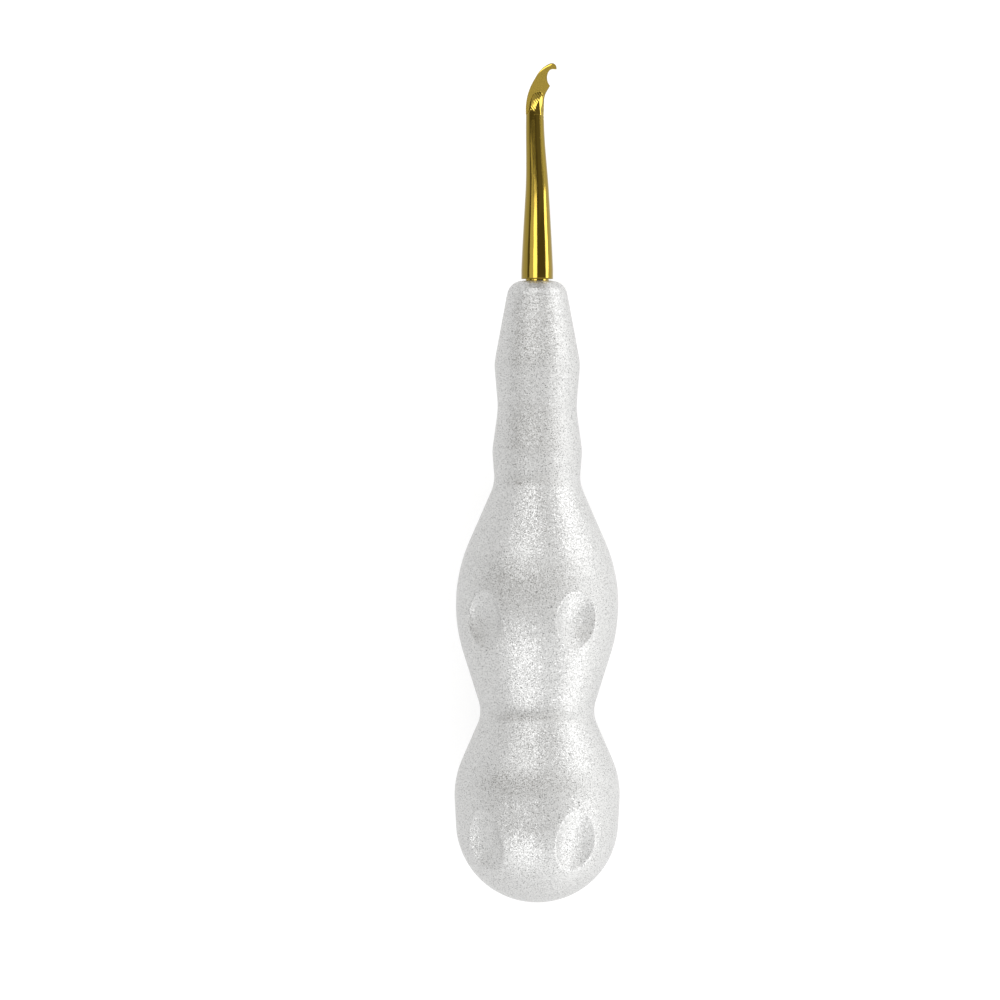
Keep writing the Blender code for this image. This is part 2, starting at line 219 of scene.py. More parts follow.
# A lamp covers angles in degrees, across and along, seen from a place this far along on the floor, and it
# hangs this far off. Its level is its brightness as a mirror shows it, where 1 is the white of the room.
# A lamp that names pieces lights only those, as cards and flags do in a studio. The near lamps end the
# highlights along the shank's taper and on the ramp with their edges.
OVER_HANDLE, OVER_SHANK, OVER_RAMP, OVER_BLADE = -0.02, 0.051, 0.071, 0.077
FAR, NEAR = 0.6, 0.15
LAMPS = (
    Lamp("key_lamp", (-40, 3), (-68, -26), OVER_HANDLE, FAR, 1.2),
    Lamp("side_lamp", (60, 94), (-66, -14), OVER_HANDLE, FAR, 1.4),
    Lamp("front_lamp", (-34, 6), (20, 50), OVER_HANDLE, FAR, 1.2),
    Lamp("front_side_lamp", (60, 94), (18, 50), OVER_HANDLE, FAR, 1.8),
    Lamp("crest_lamp", (25, 94), (-13, 17), OVER_HANDLE, FAR, 0.45, (HANDLE,)),
    Lamp("shank_lamp", (-20, 4), (-5, 9.6), OVER_SHANK, NEAR, 4.8, (SHANK,)),
    Lamp("shank_fill_lamp", (-48, -20), (-5, 9.6), OVER_SHANK, NEAR, 1.3, (SHANK,)),
    Lamp("shank_side_lamp", (68, 95), (-5, 9.3), OVER_SHANK, NEAR, 5.2, (SHANK,)),
    Lamp("root_fill_lamp", (20, 66), (8, 22), OVER_SHANK, NEAR, 0.1, (SHANK,)),
    Lamp("blade_lamp", (-14, 2), (-6, 7), OVER_BLADE, NEAR, 1.0, (BLADE,)),
    Lamp("tip_lamp", (-48, 16), (20, 36), OVER_RAMP, NEAR, 4.8, (SHANK, BLADE)),
    Lamp("tip_side_lamp", (62, 92), (7.5, 38), OVER_RAMP, NEAR, 6.0, (SHANK,)),
)


def normal_between(a, b):
    """The angle of the outward normal of the straight line that touches rounds a and b."""
    across = math.hypot(b.x - a.x, b.y - a.y)
    lean = (a.radius - b.radius) / across
    return math.atan2(b.y - a.y, b.x - a.x) + math.acos(max(-1.0, min(1.0, lean)))


def outline_through(rounds, step=math.radians(1.5)):
    """Points along arcs joined by straight tangents, with the normal's angle and the bevel at each.

    An arc is centre + radius * (cos, sin)(angle), from the normal of the tangent that comes in to the
    normal of the one that leaves. A negative radius is hollow and a zero one is a corner. Along an arc the
    bevel grows or fades evenly from that of the round before to its own.
    """
    points, angles, bevels = [], [], []
    for before, here, after in zip(rounds, rounds[1:], rounds[2:]):
        first = normal_between(before, here)
        turn = (normal_between(here, after) - first + math.pi) % (2 * math.pi) - math.pi
        if here.radius == 0:
            turned = np.array([first + turn / 2])
            bevel = np.array([here.bevel / math.cos(turn / 2)])
        else:
            turned = np.linspace(first, first + turn, max(2, math.ceil(abs(turn) / step) + 1))
            bevel = np.linspace(before.bevel, here.bevel, len(turned))
        centre = np.array([here.x, here.y])
        points.append(centre + here.radius * np.column_stack((np.cos(turned), np.sin(turned))))
        angles.append(turned)
        bevels.append(bevel)
    ends = [np.array([[end.x, end.y]]) for end in (rounds[0], rounds[-1])]
    return Outline(
        np.concatenate([ends[0], *points, ends[1]]),
        np.concatenate([angles[0][:1], *angles, angles[-1][-1:]]),
        np.concatenate([[rounds[0].bevel], *bevels, [rounds[-1].bevel]]),
    )


def along_outline(outline, spacing, samples=4000):
    """The outline again, at the steps that the spacing function gives for each point of it."""
    steps = np.linalg.norm(np.diff(outline.points, axis=0), axis=1)
    reach = np.concatenate([[0], np.cumsum(steps)])
    fine = np.linspace(0, reach[-1], samples)
    x = np.interp(fine, reach, outline.points[:, 0])
    y = np.interp(fine, reach, outline.points[:, 1])
    count = np.cumsum(1 / spacing(x, y)) * (fine[1] - fine[0])
    wanted = np.linspace(count[0], count[-1], int(count[-1]) + 2)
    at = np.interp(wanted, count, fine)
    places = np.column_stack((np.interp(at, fine, x), np.interp(at, fine, y)))
    return Outline(places, np.interp(at, reach, outline.angles), np.interp(at, reach, outline.bevels))


def smooth_step(share):
    """Rises from 0 to 1 as 3 s^2 - 2 s^3, level at both ends."""
    share = np.clip(share, 0, 1)
    return share * share * (3 - 2 * share)


def closed_grid(name, rings, material, node, placement):
    """A mesh over rings of points, closed round each ring and to a pole at each end, faces outwards.

    The rings are an array (rings, points, 3) in the instrument's frame. Each pole is the mean of the
    ring next to it.
    """
    rows, columns = rings.shape[:2]
    poles = rings[[0, -1]].mean(axis=1)
    points = np.concatenate([rings.reshape(-1, 3), poles])
    here = np.arange(rows * columns).reshape(rows, columns)
    beside = np.roll(here, -1, axis=1)
    quads = np.stack([here[:-1], here[1:], beside[1:], beside[:-1]], axis=-1).reshape(-1, 4)
    foot = np.full(columns, rows * columns)
    fans = [
        np.stack([foot, here[0], beside[0]], axis=-1),
        np.stack([foot + 1, beside[-1], here[-1]], axis=-1),
    ]
    corners = points[quads[:, :3]]
    volume = np.einsum("ij,ij->", corners[:, 0], np.cross(corners[:, 1], corners[:, 2]))
    faces = quads.tolist() + fans[0].tolist() + fans[1].tolist()
    if volume < 0:
        faces = [face[::-1] for face in faces]
    return add_piece(name, laid(points, placement), faces, material, node)


def add_piece(name, points, faces, material, node, crease=math.radians(28)):
    """A smooth mesh object, sharp where it creases, that stands for the CAD node and rides on the part."""
    mesh = bpy.data.meshes.new(name)
    mesh.from_pydata(points, [], faces)
    mesh.validate()
    mesh.materials.append(material)
    mesh.shade_smooth()
    mesh.set_sharp_from_angle(angle=crease)
    piece = bpy.data.objects.new(name, mesh)
    bpy.context.scene.collection.objects.link(piece)
    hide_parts(node)
    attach(piece, "root")
    return piece


def laid(points, placement):
    """Points of the instrument's frame, turned to its resting slope and set on the floor."""
    slope, middle, lowest = placement
    length = math.hypot(1, slope)
    turned = np.empty_like(points)
    turned[:, 0] = points[:, 0]
    turned[:, 1] = (points[:, 1] + slope * points[:, 2]) / length - middle
    turned[:, 2] = (points[:, 2] - slope * points[:, 1]) / length - lowest
    return turned


def handle_rounds(sizes):
    """The arcs of the handle's profile, x along the axis from the butt and y out from the axis."""
    return [
        Round(0, 0, 0),
        Round(sizes.butt_dome, 0, sizes.butt_dome),
        Round(sizes.butt_bulb_at, sizes.butt_bulb - sizes.butt_bulb_arc, sizes.butt_bulb_arc),
        Round(sizes.waist_at, sizes.waist + sizes.waist_arc, -sizes.waist_arc),
        Round(sizes.grip_bulb_at, sizes.grip_bulb - sizes.grip_bulb_arc, sizes.grip_bulb_arc),
        Round(sizes.flare_at, sizes.flare + sizes.flare_arc, -sizes.flare_arc),
        Round(sizes.rear_collar_at, sizes.rear_collar - sizes.rear_collar_arc, sizes.rear_collar_arc),
        Round(sizes.neck_at, sizes.neck + sizes.neck_arc, -sizes.neck_arc),
        Round(sizes.front_collar_at, sizes.front_collar - sizes.front_collar_arc, sizes.front_collar_arc),
        Round(sizes.length - sizes.nose_arc, sizes.nose - sizes.nose_arc, sizes.nose_arc),
        Round(sizes.length, 0, 0),
    ]


def hollow_sink(points, normals, centre, axes, reach, rim):
    """How far each point of the handle sinks, along its normal, onto the ellipsoid of one hollow.

    With the point p and normal n in units of the ellipsoid's half axes, p - t n meets it where
    |p - t n| = 1. The far root t is above zero inside the ellipsoid and falls below it outside, and
    (t + sqrt(t^2 + rim^2)) / 2 rounds the step between the two.
    """
    start = (points - centre) @ axes.T / reach
    away = normals @ axes.T / reach
    a = (away * away).sum(axis=-1)
    b = (start * away).sum(axis=-1)
    c = (start * start).sum(axis=-1) - 1
    inside = b * b - a * c
    far = (b + np.sqrt(np.maximum(inside, 0))) / a
    far = np.where((inside > 0) & (b < 0), far, -1)
    return (far + np.sqrt(far * far + rim * rim)) / 2


def handle_surface(sizes, bore, bore_depth):
    """The turned handle: across = r sin(turn), front = r cos(turn), less the hollows, and a blind bore.

    The steps are fine over the zones of the two rings, and round the handle near each hollow's middle.
    """
    zones = ((sizes.grip_ring_at, 7.4 * MM), (sizes.butt_ring_at, 8.4 * MM))
    fine_step, coarse_step = 0.22 * MM, 0.75 * MM
    fine_half, fine_share = math.radians(19.5), 0.36
    sector_steps = 58

    def spacing(along, radius):
        away = np.min([np.abs(along - centre) - half for centre, half in zones], axis=0)
        return np.where(away < 0, fine_step, coarse_step)

    rounds = handle_rounds(sizes)
    profile = outline_through(rounds)
    keep = (profile.points[:, 0] < sizes.length - 1e-9) | (profile.points[:, 1] > bore)
    profile = Outline(profile.points[keep], profile.angles[keep], profile.bevels[keep])
    profile = along_outline(profile, spacing)
    along, radius = profile.points.T
    sector = 2 * math.pi / sizes.hollows
    shares = np.linspace(0, 1, sector_steps, endpoint=False)
    one = np.interp(shares, [0, fine_share, 1 - fine_share, 1], [0, fine_half, sector - fine_half, sector])
    turn = (one[None, :] + sector * np.arange(sizes.hollows)[:, None]).ravel() + math.pi
    outward = np.stack([np.sin(turn), np.zeros_like(turn), np.cos(turn)], axis=-1)
    axial = np.array([0.0, 1.0, 0.0])
    normals = (
        outward[None] * np.sin(profile.angles)[:, None, None] + axial * np.cos(profile.angles)[:, None, None]
    )
    rings = outward[None] * radius[:, None, None] + axial * along[:, None, None]
    sink = np.zeros(rings.shape[:2])
    rows = ((sizes.grip_ring_at, sizes.grip_hollow_length), (sizes.butt_ring_at, sizes.butt_hollow_length))
    for at, half_length in rows:
        angle = np.interp(at, along[:-1], profile.angles[:-1])
        crest = np.interp(at, along[:-1], radius[:-1])
        for place in math.pi + sector * np.arange(sizes.hollows):
            out = np.array([math.sin(place), 0, math.cos(place)])
            normal = out * math.sin(angle) + axial * math.cos(angle)
            length = axial * math.sin(angle) - out * math.cos(angle)
            axes = np.stack([np.cross(length, normal), length, normal])
            centre = out * crest + axial * at + normal * (sizes.hollow_round - sizes.hollow_depth)
            reach = np.array([sizes.hollow_round, half_length, sizes.hollow_round])
            sink = np.maximum(sink, hollow_sink(rings, normals, centre, axes, reach, sizes.hollow_rim))
    rings = rings - normals * sink[..., None]
    bore_end = sizes.length - bore_depth
    bore_places = [(sizes.length, bore), (bore_end, bore), (bore_end, POLE_RING)]
    inner = np.stack([outward * out + axial * place for place, out in bore_places])
    return np.concatenate([rings[1:], inner])


def resting_slope(along, height, steepest=0.06, tries=1201):
    """The slope that the underside lies at: of all lines below it, the one highest at along = 0."""
    slopes = np.linspace(-steepest, steepest, tries)
    heights = [(height - slope * along).min() for slope in slopes]
    return float(slopes[int(np.argmax(heights))])


def placement_of(sizes, blade, rings):
    """The slope, the middle and the lowest height of the instrument as it lies on its back."""
    underside = -0.9 * sizes.grip_bulb
    points = rings.reshape(-1, 3)
    under = points[points[:, 2] < underside]
    slope = resting_slope(under[:, 1] - sizes.waist_at, under[:, 2])
    placement = Placement(slope, 0.0, 0.0)
    tip = np.array([[0.0, blade_tip(sizes, blade), 0.0]])
    turned = laid(points, placement)
    middle = (turned[:, 1].min() + laid(tip, placement)[0, 1]) / 2
    return Placement(slope, float(middle), float(turned[:, 2].min()))


def root_of(sizes, blade):
    """Where the blade's root is, across and along."""
    shoulder = sizes.length + blade.seat_gap
    return -blade.crank, shoulder + blade.shoulder_length + blade.taper_length


def round_after(before, radius, facing, run, bevel):
    """The round that an outline meets after it has turned to this facing and run straight on."""
    across, up = math.cos(math.radians(facing)), math.sin(math.radians(facing))
    shift = before.radius - radius
    return Round(before.x + shift * across + run * up, before.y + shift * up - run * across, radius, bevel)


def blade_rounds(sizes, blade):
    """The arcs of the blade's outline, clockwise from its foot inside the shank's left side."""
    x, z = root_of(sizes, blade)
    light = blade.light_bevel
    bevels = {"wide": blade.bevel, "fading": FADING_BEVEL * light, "light": light}
    belly, belly_at = 10.5 * MM, 2.05 * MM
    heel, heel_at = 3.8 * MM, 3.45 * MM
    foot_inset, foot_depth = 0.12 * MM, 1.8 * MM
    rounds = [Round(x - blade.root + belly, z + belly_at, belly, light)]
    for turn in BLADE_TURNS:
        rounds.append(
            round_after(rounds[-1], turn.radius * MM, turn.facing, turn.run * MM, bevels[turn.bevel])
        )
    rounds.append(Round(x + blade.root + heel, z + heel_at, -heel, light))
    left_foot = Round(x - blade.root + foot_inset, z - foot_depth, 0)
    right_foot = Round(x + blade.root - foot_inset, z - foot_depth, 0)
    return [left_foot, *rounds, right_foot]


def blade_tip(sizes, blade):
    """How far along the instrument the blade's tip lies."""
    return outline_through(blade_rounds(sizes, blade)).points[:, 1].max()


def blade_surface(sizes, blade):
    """The blade as rings of its outline, drawn in over the bevel, with a flat at each end: points, faces.

    A ring lies share * bevel in from the rim, and its front is at half the thickness less the bevel's fall.
    """
    outline = along_outline(
        outline_through(blade_rounds(sizes, blade)), lambda x, y: np.full_like(x, OUTLINE_STEP)
    )
    normals = np.column_stack((np.cos(outline.angles), np.sin(outline.angles)))
    fall = np.interp(BEVEL_RINGS, (0, BEVEL_BEND, 1), (0, BEVEL_BEND_FALL, 1))
    fronts = (blade.thickness - (blade.thickness - blade.rim) * fall) / 2
    layers = [
        (outline.points - normals * outline.bevels[:, None] * (1 - share), front)
        for share, front in zip(BEVEL_RINGS, fronts)
    ]
    layers += [(place, -front) for place, front in reversed(layers)]
    points = np.concatenate([np.insert(place, 2, front, axis=1) for place, front in layers])
    here = np.arange(len(points)).reshape(len(layers), -1)
    beside = np.roll(here, -1, axis=1)
    sides = np.stack([here[:-1], here[1:], beside[1:], beside[:-1]], axis=-1).reshape(-1, 4)
    flats = [here[0][::-1].tolist(), here[-1].tolist()]
    return points, [face[::-1] for face in sides.tolist()] + flats


def shank_radius(share, blade):
    """The shank's radius between the shoulder, share 1, and the root, share 0.

    It is a cubic of the share, with these slopes at its ends.
    """
    root_slope, shoulder_slope = 0.25, 0.9
    curve = 3 - 2 * root_slope - shoulder_slope
    bend = root_slope + shoulder_slope - 2
    rise = share * (root_slope + share * (curve + share * bend))
    return blade.root + (blade.shoulder - blade.root) * rise


def ramp_arch(v, blade):
    """Where the ramp's arch-shaped edge lies at v: its middle, and its reach to the left and to the right.

    All are in millimetres, right of and past the root. Above v0 the arch is |s|^p + ((v - v0) / h)^p = 1,
    and towards the root it widens until it has let the whole round shank through.
    """
    width, top = blade.ramp_width / MM, blade.ramp_length / MM
    power, start = 2.2, 2.6
    widening, widens_below = 0.85, 2.2
    middle_at_start, drift = 0.38, 0.12
    right_width, right_widening = 0.9, 0.4
    rise = np.clip((v - start) / (top - start), 0, 1)
    share = (1 - rise**power) ** (1 / power)
    step = widening * (1 - smooth_step(v / widens_below))
    middle = middle_at_start + drift * (v - start)
    return middle, (width + step) * share, (right_width * width + right_widening * step) * share


def scoop_height(u, v):
    """The scoop across the ramp's left: a level start that curves down, ripples, and a step up to the bar.

    The ripples are waves of grinding, which run slantwise about 0.4 mm apart and rise 0.01 mm over it.
    """
    height, lean, lean_from = 1.45, 0.3, -0.3
    hollow, hollow_middle = 0.15, -0.1
    fall_from, fall, curve = 1.72, 0.14, 0.06
    wave, pitch, wave_along, wave_across = 0.01, 0.55, 0.8, 1.1
    step_slope, step_at, step_skew = 4, 1.61, 0.35
    past = np.maximum(v - fall_from, 0)
    ripple = wave * np.sin(2 * math.pi * (wave_along * v + wave_across * u) / pitch)
    step = step_slope * np.maximum(step_at - step_skew * u - v, 0)
    level = height + lean * (u - lean_from) - hollow * (u - hollow_middle) ** 2
    return level - fall * past - curve * past * past + ripple + step


def flats_height(u, v):
    """The lower of the flats ground along the ramp's right, which end in a step up to the bar."""
    step_slope, step_at = 3, 0.95
    step = step_slope * np.maximum(step_at - v, 0)
    flats = [
        flat.height - flat.lean * (u - flat.middle) - flat.fall * (v - FLATS_FROM) for flat in RAMP_FLATS
    ]
    return np.minimum(*flats) + step


def ramp_height(u, v, blade):
    """The height of the ground ramp over the blade's middle plane, in millimetres right of and past the root.

    It is the least of the round bar, sqrt(R^2 - u^2), of the scoop, of the flats, and of a steep wall round
    the arch. Round the top of the arch the wall stands on a lower foot, which mirrors the dim far end of
    the room as a dark line. Elsewhere (h + sqrt(h^2 + r^2)) / 2 rounds the wall's meeting with the flat, h
    above it, and the low parts drop a little, so that the ramp ends just under the flat.
    """
    bar_fall, flat = 0.04, blade.thickness / MM / 2
    end_slope = 1.2
    wall_start, wall_slope = 0.25, 2.4
    foot_slope, foot_width, foot_wall = 0.8, 0.2, 5
    upper_from, upper_fade = 4, 0.8
    foot_reach, foot_fade = 1.0, 0.5
    rounding = 0.12
    drop, drops_below, drop_fade = 0.03, 0.7, 0.5
    bar = np.sqrt(np.maximum((blade.root / MM) ** 2 - u * u, 0)) - bar_fall * v
    middle, to_left, to_right = ramp_arch(v, blade)
    reach = np.where(u < middle, to_left, to_right)
    inside = np.minimum(reach - np.abs(u - middle), end_slope * (blade.ramp_length / MM - v))
    inside = np.maximum(inside, 0)
    upper = smooth_step((v - upper_from) / upper_fade) * smooth_step((middle + foot_reach - u) / foot_fade)
    wall = wall_start + wall_slope * inside
    foot = flat + foot_slope * inside + foot_wall * np.maximum(inside - foot_width, 0)
    wall = wall + upper * (foot - wall)
    over = np.minimum.reduce([bar, scoop_height(u, v), flats_height(u, v), wall]) - flat
    fillet = flat + (over + np.sqrt(over * over + rounding**2 * (1 - upper))) / 2
    fillet = fillet - (1 - upper) * drop * smooth_step((drops_below - over) / drop_fade)
    return np.minimum(bar, fillet)


def shank_surface(sizes, blade):
    """Tang, shoulder, taper and ramp as rings of (middle + r cos t, along, r sin t), cut to the ramp.

    The ramp's last ring stops just short of the arch's top, where it has no width. Its front and back meet
    along its sides, where they are held within a round of one and a half times the root's radius.
    """
    around, corner_steps, taper_steps, ramp_steps = 240, 6, 150, 140
    tang_edge = 0.3 * MM
    last_share, side_round = 0.999, 1.5
    across, root = root_of(sizes, blade)
    shoulder = sizes.length + blade.seat_gap
    tang_end = shoulder - blade.tang_length
    straight = shoulder + blade.shoulder_length
    edge = blade.shoulder_edge
    turn = np.linspace(0, 2 * math.pi, around, endpoint=False)
    corner = np.linspace(0, math.pi / 2, corner_steps)
    start = [
        (tang_end, POLE_RING),
        (tang_end, blade.tang - tang_edge),
        (tang_end + tang_edge, blade.tang),
        (shoulder, blade.tang),
    ]
    rounding = [
        (shoulder + edge - edge * math.cos(a), blade.shoulder - edge + edge * math.sin(a)) for a in corner
    ]
    rounding.append((shoulder + 2 * edge, blade.shoulder))
    taper = np.linspace(0, 1, taper_steps)
    shares = [(straight + t * blade.taper_length, shank_radius(1 - t, blade)) for t in taper]
    along, radius = np.array(start + rounding + shares).T
    middle = across * smooth_step(1 - (root - along) / blade.crank_length)
    rings = np.stack(
        [
            middle[:, None] + radius[:, None] * np.cos(turn),
            np.repeat(along[:, None], len(turn), axis=1),
            radius[:, None] * np.sin(turn),
        ],
        axis=-1,
    )
    v = blade.ramp_length / MM * np.linspace(0, 1, ramp_steps)[1:, None] * last_share
    reach = blade.root / MM
    centre, to_left, to_right = ramp_arch(v, blade)
    left = np.maximum(centre - to_left, -reach)
    right = np.minimum(centre + to_right, reach)
    u = (left + right) / 2 + (right - left) / 2 * np.cos(turn)
    height = np.minimum(ramp_height(u, v, blade), reach * side_round * np.abs(np.sin(turn)))
    ramp = np.stack([across + u * MM, root + (v + 0 * u) * MM, height * np.sign(np.sin(turn)) * MM], axis=-1)
    return np.concatenate([rings, ramp])


class InstrumentOperator:
    """What the piece operators share: the sizes, and where the instrument lies."""

    bl_options = {"REGISTER", "UNDO"}

    def gather(self, context):
        """The sizes, the finishes, the handle's rings and the placement that follows from them."""
        scene = context.scene
        sizes, blade = scene.handle_sizes, scene.blade_sizes
        bore = blade.tang + blade.seat_gap
        rings = handle_surface(sizes, bore, blade.tang_length + blade.seat_gap)
        return sizes, blade, scene.finishes, rings, placement_of(sizes, blade, rings)


class BuildHandle(InstrumentOperator, bpy.types.Operator):
    """Build the turned handle with its two rings of finger hollows"""

    bl_idname = "periotome.handle"
    bl_label = "Handle"

    def execute(self, context):
        sizes, blade, finishes, rings, placement = self.gather(context)
        material = blasted_metal(finishes)
        closed_grid(HANDLE, rings, material, "handle", placement)
        return {"FINISHED"}


class BuildShank(InstrumentOperator, bpy.types.Operator):
    """Build the tapered shank and the ramp in which it runs out on the blade"""

    bl_idname = "periotome.shank"
    bl_label = "Shank"

    def execute(self, context):
        sizes, blade, finishes, _, placement = self.gather(context)
        rings = shank_surface(sizes, blade)
        closed_grid(SHANK, rings, polished_gold(finishes), "blade_shank", placement)
        return {"FINISHED"}


class BuildBlade(InstrumentOperator, bpy.types.Operator):
    """Build the flat hooked blade with its notch and its bevelled brow"""

    bl_idname = "periotome.blade"
    bl_label = "Blade"

    def execute(self, context):
        sizes, blade, finishes, _, placement = self.gather(context)
        points, faces = blade_surface(sizes, blade)
        points = laid(points, placement)
        piece = add_piece(BLADE, points, faces, polished_gold(finishes), "blade_shank")
        piece.data.materials.append(ground_gold(finishes))
        flats = list(piece.data.polygons)[-2:]
        for face in flats:
            face.material_index = 1
            face.use_smooth = False
        return {"FINISHED"}


def add_node(tree, kind, settings=(), links=()):
    """Adds a shader node with its settings and values, and links the given sockets to its inputs."""
    node = tree.nodes.new(kind)
    for name, value in dict(settings).items():
        if isinstance(name, int) or name in node.inputs:
            node.inputs[name].default_value = value
        else:
            setattr(node, name, value)
    for name, socket in dict(links).items():
        tree.links.new(socket, node.inputs[name])
    return node


def add_math(tree, operation, *values):
    """Adds a step of arithmetic on sockets and numbers, and gives the socket of its result."""
    node = add_node(tree, "ShaderNodeMath", {"operation": operation})
    for value, socket in zip(values, node.inputs):
        if isinstance(value, float):
            socket.default_value = value
        else:
            tree.links.new(value, socket)
    return node.outputs[0]


def add_map(tree, value, span, result=(0.0, 1.0), interpolation="SMOOTHSTEP"):
    """Maps a socket's value from one span onto another, and gives the socket of its result."""
    settings = {
        "interpolation_type": interpolation,
        "From Min": span[0],
        "From Max": span[1],
        "To Min": result[0],
        "To Max": result[1],
    }
    return add_node(tree, "ShaderNodeMapRange", settings, {"Value": value}).outputs[0]


def add_mix(tree, share, low, high):
    """Mixes two linear colours by a socket's value, and gives the socket of its result."""
    low_socket, high_socket, result = 6, 7, 2
    mix = add_node(tree, "ShaderNodeMix", {"data_type": "RGBA"}, {"Factor": share})
    mix.inputs[low_socket].default_value = (*low, 1)
    mix.inputs[high_socket].default_value = (*high, 1)
    return mix.outputs[result]


def new_material(name, tint, roughness, metallic=1.0):
    """A material with only a Principled BSDF of this linear colour, its node tree and that shader."""
    material = bpy.data.materials.new(name)
    material.use_nodes = True
    shader = material.node_tree.nodes["Principled BSDF"]
    shader.inputs["Base Color"].default_value = (*tint, 1)
    shader.inputs["Roughness"].default_value = roughness
    shader.inputs["Metallic"].default_value = metallic
    return material, material.node_tree, shader


def blasted_metal(finishes):
    """Aluminium blasted with fine beads: a pale matt sheen that breaks up into small bright and dark facets.

    The pits of real beads are about 0.1 mm wide. They are drawn as wide as the grain, 0.17 mm, so that they
    show. Each facet leans its own way and has its own gloss, and a noise a little coarser darkens a few.
    """
    smooth, rough = 0.3, 0.55
    low_tone, high_tone = 0.2, 0.8
    pit_density = 0.8 / finishes.silver_grain
    material, tree, shader = new_material("bead_blasted_aluminium", finishes.silver, rough)
    place = add_node(tree, "ShaderNodeTexCoord").outputs["Object"]
    facets = add_node(tree, "ShaderNodeTexVoronoi", {"Scale": 1 / finishes.silver_grain}, {"Vector": place})
    level = add_node(tree, "ShaderNodeVectorMath", {"operation": "SUBTRACT", 1: (0.5, 0.5, 0.5)})
    tree.links.new(facets.outputs["Color"], level.inputs[0])
    tilt = add_node(
        tree, "ShaderNodeVectorMath", {"operation": "SCALE", "Scale": FACET_TILT}, {0: level.outputs[0]}
    )
    outward = add_node(tree, "ShaderNodeNewGeometry").outputs["Normal"]
    turned = add_node(tree, "ShaderNodeVectorMath", {"operation": "ADD"}, {0: outward, 1: tilt.outputs[0]})
    facing = add_node(tree, "ShaderNodeVectorMath", {"operation": "NORMALIZE"}, {0: turned.outputs[0]})
    pits = add_node(
        tree,
        "ShaderNodeTexNoise",
        {"Scale": pit_density, "Detail": 2.0, "Roughness": 0.7},
        {"Vector": place},
    )
    depth = add_map(tree, pits.outputs[0], PIT_SPAN, interpolation="LINEAR")
    shade = add_mix(tree, depth, finishes.silver, [PIT_SHADE * part for part in finishes.silver])
    gloss = add_map(tree, facets.outputs["Color"], (low_tone, high_tone), (smooth, rough), "LINEAR")
    tree.links.new(gloss, shader.inputs["Roughness"])
    tree.links.new(shade, shader.inputs["Base Color"])
    tree.links.new(facing.outputs[0], shader.inputs["Normal"])
    return material


def polished_gold(finishes):
    """Steel polished to a mirror under a thin gold-coloured nitride coat: sharp, deep reflections.

    Polishing streaks 0.35 mm wide and 0.012 mm deep run along it and break up the reflections' edges.
    """
    streak_width, streak_depth = 0.35 * MM, 0.012 * MM
    material, tree, shader = new_material("polished_gold_coat", finishes.gold, 0.08)
    place = add_node(tree, "ShaderNodeTexCoord").outputs["Object"]
    along = add_node(tree, "ShaderNodeVectorMath", {"operation": "MULTIPLY", 1: (1, 0.05, 1)}, {0: place})
    streaks = add_node(
        tree, "ShaderNodeTexNoise", {"Scale": 1 / streak_width, "Detail": 1.0}, {"Vector": along.outputs[0]}
    )
    bump = add_node(
        tree, "ShaderNodeBump", {"Strength": 1.0, "Distance": streak_depth}, {"Height": streaks.outputs[0]}
    )
    tree.links.new(bump.outputs["Normal"], shader.inputs["Normal"])
    return material


def ground_gold(finishes):
    """The same coat over the blade's finely ground flats: an even satin tone."""
    return new_material("ground_gold_coat", finishes.gold, 0.2)[0]


class BuildStudio(InstrumentOperator, bpy.types.Operator):
    """Set up the floor, the soft lamps, the surroundings and the camera"""

    bl_idname = "periotome.studio"
    bl_label = "Studio"

    def execute(self, context):
        placement = self.gather(context)[-1]
        studio = context.scene.studio
        add_floor(studio)
        add_surroundings(context.scene)
        add_camera(context.scene, studio, placement)
        for lamp in LAMPS:
            add_lamp(lamp)
        context.scene.view_settings.view_transform = "Standard"
        return {"FINISHED"}


def add_floor(studio):
    """A wide matt floor that glows for the camera and in reflections, so that it is white with a soft shadow.

    It glows less on the left of the instrument, whose left side mirrors it darker.
    """
    half = studio.floor_size / 2
    corners = [(-half, -half, 0), (half, -half, 0), (half, half, 0), (-half, half, 0)]
    mesh = bpy.data.meshes.new("floor")
    mesh.from_pydata(corners, [], [(0, 1, 2, 3)])
    material, tree, shader = new_material("white_floor", studio.floor_white, 0.9, metallic=0.0)
    shader.inputs["Specular IOR Level"].default_value = 0.0
    ray = add_node(tree, "ShaderNodeLightPath").outputs
    seen = add_math(tree, "MAXIMUM", ray["Is Camera Ray"], ray["Is Glossy Ray"])
    seen = add_math(tree, "MAXIMUM", seen, ray["Is Transmission Ray"])
    place = add_node(tree, "ShaderNodeTexCoord").outputs["Object"]
    across = add_node(tree, "ShaderNodeSeparateXYZ", links={0: place}).outputs["X"]
    glow = add_math(tree, "MULTIPLY", seen, add_map(tree, across, GLOW_SPAN, GLOW))
    shader.inputs["Emission Color"].default_value = (1, 1, 1, 1)
    tree.links.new(glow, shader.inputs["Emission Strength"])
    mesh.materials.append(material)
    floor = bpy.data.objects.new("floor", mesh)
    bpy.context.scene.collection.objects.link(floor)


